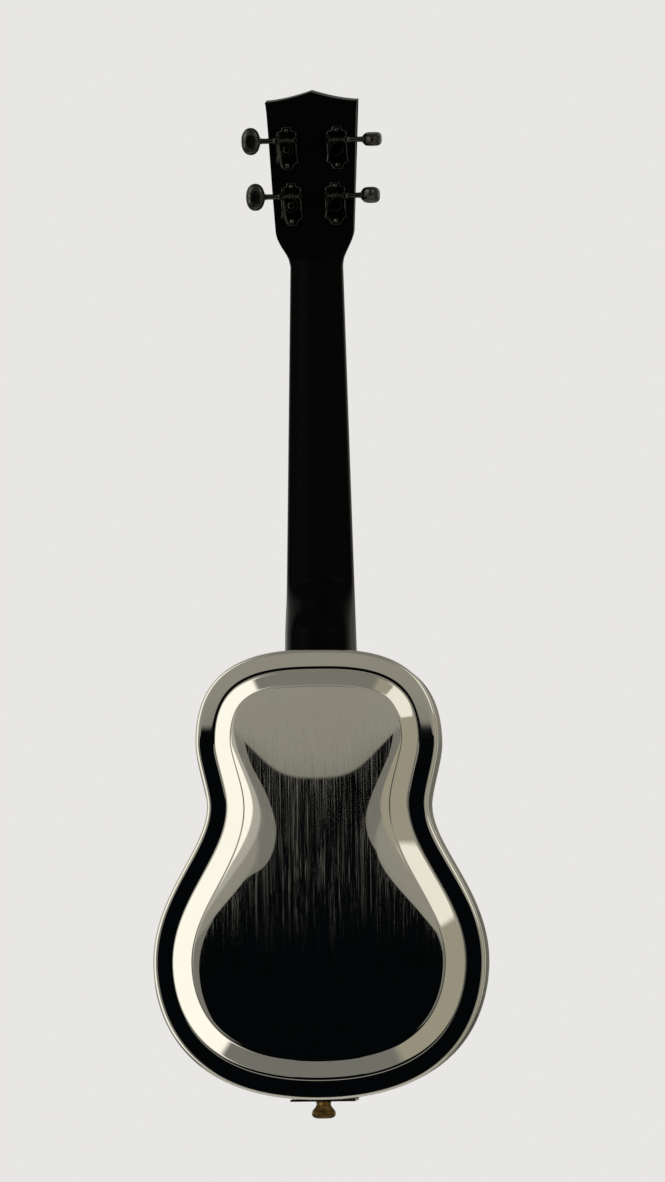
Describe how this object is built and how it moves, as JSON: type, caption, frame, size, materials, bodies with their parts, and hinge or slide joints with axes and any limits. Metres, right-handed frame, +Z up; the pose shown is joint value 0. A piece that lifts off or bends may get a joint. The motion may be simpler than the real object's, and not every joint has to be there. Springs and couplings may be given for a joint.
{
  "type": "resonator guitar",
  "caption": "Resonator guitar with a stamped metal body, spun cone under a vented cover, long fretted neck and geared tuners.",
  "frame": {"origin": "centre of the end button's flat outer face, the lowest point of the upright instrument", "axes": "+Z up the neck from the tail to the head, -Y out of the front where the strings are, +Y out of the back, +X to the right seen from the front"},
  "size_m": [0.2246, 0.082, 0.7014],
  "materials": {
    "nickel_plate": "polished nickel plate, finely brushed along the body inside the back's raised panel",
    "spun_aluminium": "spun, bright, with fine turning lines",
    "maple": "bare maple",
    "bone": "polished bone",
    "aged_brass": "aged, dark in the hollows",
    "black_lacquer": "wood under gloss black lacquer",
    "dark_fretboard": "oiled dark hardwood",
    "nickel_silver": "polished nickel silver",
    "nylon": "clear smooth nylon",
    "black_nickel": "dark tarnished nickel"
  },
  "bodies": {
    "instrument": {"front_plate": "nickel_plate", "side_band": "nickel_plate", "back_plate": "nickel_plate", "cone_well": "nickel_plate", "coverplate": "nickel_plate", "handrest": "nickel_plate", "tailpiece": "nickel_plate", "resonator_cone": "spun_aluminium", "biscuit": "maple", "neck_stick": "maple", "stick_post_upper": "maple", "stick_post_lower": "maple", "saddle": "bone", "nut": "bone", "end_button": "aged_brass", "neck": "black_lacquer", "head_overlay": "black_lacquer", "fretboard": "dark_fretboard", "fret_01": "nickel_silver", "fret_02": "nickel_silver", "fret_03": "nickel_silver", "fret_04": "nickel_silver", "fret_05": "nickel_silver", "fret_06": "nickel_silver", "fret_07": "nickel_silver", "fret_08": "nickel_silver", "fret_09": "nickel_silver", "fret_10": "nickel_silver", "fret_11": "nickel_silver", "fret_12": "nickel_silver", "fret_13": "nickel_silver", "fret_14": "nickel_silver", "fret_15": "nickel_silver", "fret_16": "nickel_silver", "fret_17": "nickel_silver", "fret_18": "nickel_silver", "string_1": "nylon", "string_2": "nylon", "string_3": "nylon", "string_4": "nylon", "tuner_1_plate": "black_nickel", "tuner_1_bushing": "black_nickel", "tuner_2_plate": "black_nickel", "tuner_2_bushing": "black_nickel", "tuner_3_plate": "black_nickel", "tuner_3_bushing": "black_nickel", "tuner_4_plate": "black_nickel", "tuner_4_bushing": "black_nickel"},
    "tuner_1_worm": {"tuner_1_worm_shaft": "black_nickel", "tuner_1_button": "black_nickel"},
    "tuner_2_worm": {"tuner_2_worm_shaft": "black_nickel", "tuner_2_button": "black_nickel"},
    "tuner_3_worm": {"tuner_3_worm_shaft": "black_nickel", "tuner_3_button": "black_nickel"},
    "tuner_4_worm": {"tuner_4_worm_shaft": "black_nickel", "tuner_4_button": "black_nickel"},
    "tuner_1_post": {"tuner_1_gear_post": "black_nickel"},
    "tuner_2_post": {"tuner_2_gear_post": "black_nickel"},
    "tuner_3_post": {"tuner_3_gear_post": "black_nickel"},
    "tuner_4_post": {"tuner_4_gear_post": "black_nickel"}
  },
  "joints": [
    {"name": "tuner_1_turn", "type": "hinge", "parent": "instrument", "child": "tuner_1_worm", "pos_m": [0.01509, -0.00237, 0.62772], "axis": [1, 0, 0], "continuous": true},
    {"name": "tuner_2_turn", "type": "hinge", "parent": "instrument", "child": "tuner_2_worm", "pos_m": [0.01721, 0.00622, 0.66494], "axis": [1, 0, 0], "continuous": true},
    {"name": "tuner_3_turn", "type": "hinge", "parent": "instrument", "child": "tuner_3_worm", "pos_m": [-0.01721, 0.00622, 0.66494], "axis": [-1, 0, 0], "continuous": true},
    {"name": "tuner_4_turn", "type": "hinge", "parent": "instrument", "child": "tuner_4_worm", "pos_m": [-0.01509, -0.00237, 0.62772], "axis": [-1, 0, 0], "continuous": true},
    {"name": "tuner_1_post_turn", "type": "hinge", "parent": "instrument", "child": "tuner_1_post", "pos_m": [0.01509, -0.00793, 0.62276], "axis": [0, 0.9744, -0.225], "continuous": true},
    {"name": "tuner_2_post_turn", "type": "hinge", "parent": "instrument", "child": "tuner_2_post", "pos_m": [0.01721, 0.00066, 0.65998], "axis": [0, 0.9744, -0.225], "continuous": true},
    {"name": "tuner_3_post_turn", "type": "hinge", "parent": "instrument", "child": "tuner_3_post", "pos_m": [-0.01721, 0.00066, 0.65998], "axis": [0, 0.9744, -0.225], "continuous": true},
    {"name": "tuner_4_post_turn", "type": "hinge", "parent": "instrument", "child": "tuner_4_post", "pos_m": [-0.01509, -0.00793, 0.62276], "axis": [0, 0.9744, -0.225], "continuous": true}
  ],
  "couplings": [
    {"joint": "tuner_1_post_turn", "follows": "tuner_1_turn", "ratio": -0.071429},
    {"joint": "tuner_2_post_turn", "follows": "tuner_2_turn", "ratio": -0.071429},
    {"joint": "tuner_3_post_turn", "follows": "tuner_3_turn", "ratio": -0.071429},
    {"joint": "tuner_4_post_turn", "follows": "tuner_4_turn", "ratio": -0.071429}
  ]
}
